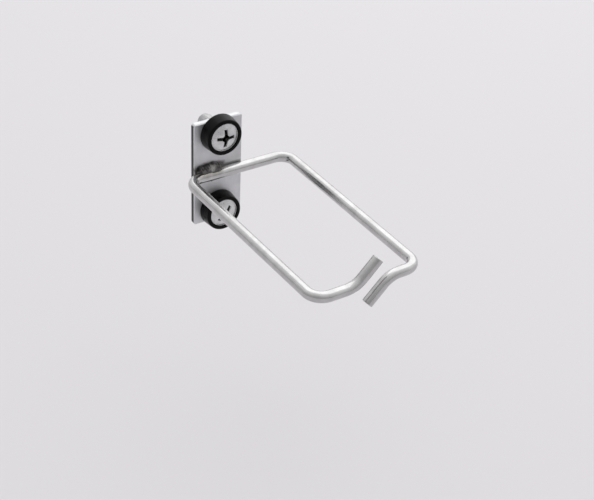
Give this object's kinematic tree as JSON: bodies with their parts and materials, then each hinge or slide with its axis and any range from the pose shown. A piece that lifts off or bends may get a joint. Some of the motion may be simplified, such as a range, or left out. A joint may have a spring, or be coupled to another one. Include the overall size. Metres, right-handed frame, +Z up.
{
  "type": "rack d-ring cable hook",
  "caption": "Bent wire D-ring on a flat mounting plate with screws and cup washers, for guiding cables at the front of an equipment rack.",
  "frame": {"origin": "middle of the mounting plate's back face", "axes": "+X along the wire's back run, across the plate; +Y into the rack, along the screws; +Z up, from the lower screw to the upper one"},
  "size_m": [0.0459, 0.0988, 0.0466],
  "materials": {
    "zinc_plate": "zinc-plated sheet, satin",
    "bright_wire": "bright nickel-plated wire",
    "weld_metal": "plated weld, dull",
    "screw_steel": "nickel-plated, satin",
    "black_plastic": "moulded, glossy"
  },
  "bodies": {
    "root": {"mounting_plate": "zinc_plate", "wire_loop": "bright_wire", "weld_upper": "weld_metal", "weld_lower": "weld_metal", "upper_screw": "screw_steel", "lower_screw": "screw_steel", "upper_cup_washer": "black_plastic", "lower_cup_washer": "black_plastic"}
  },
  "joints": []
}
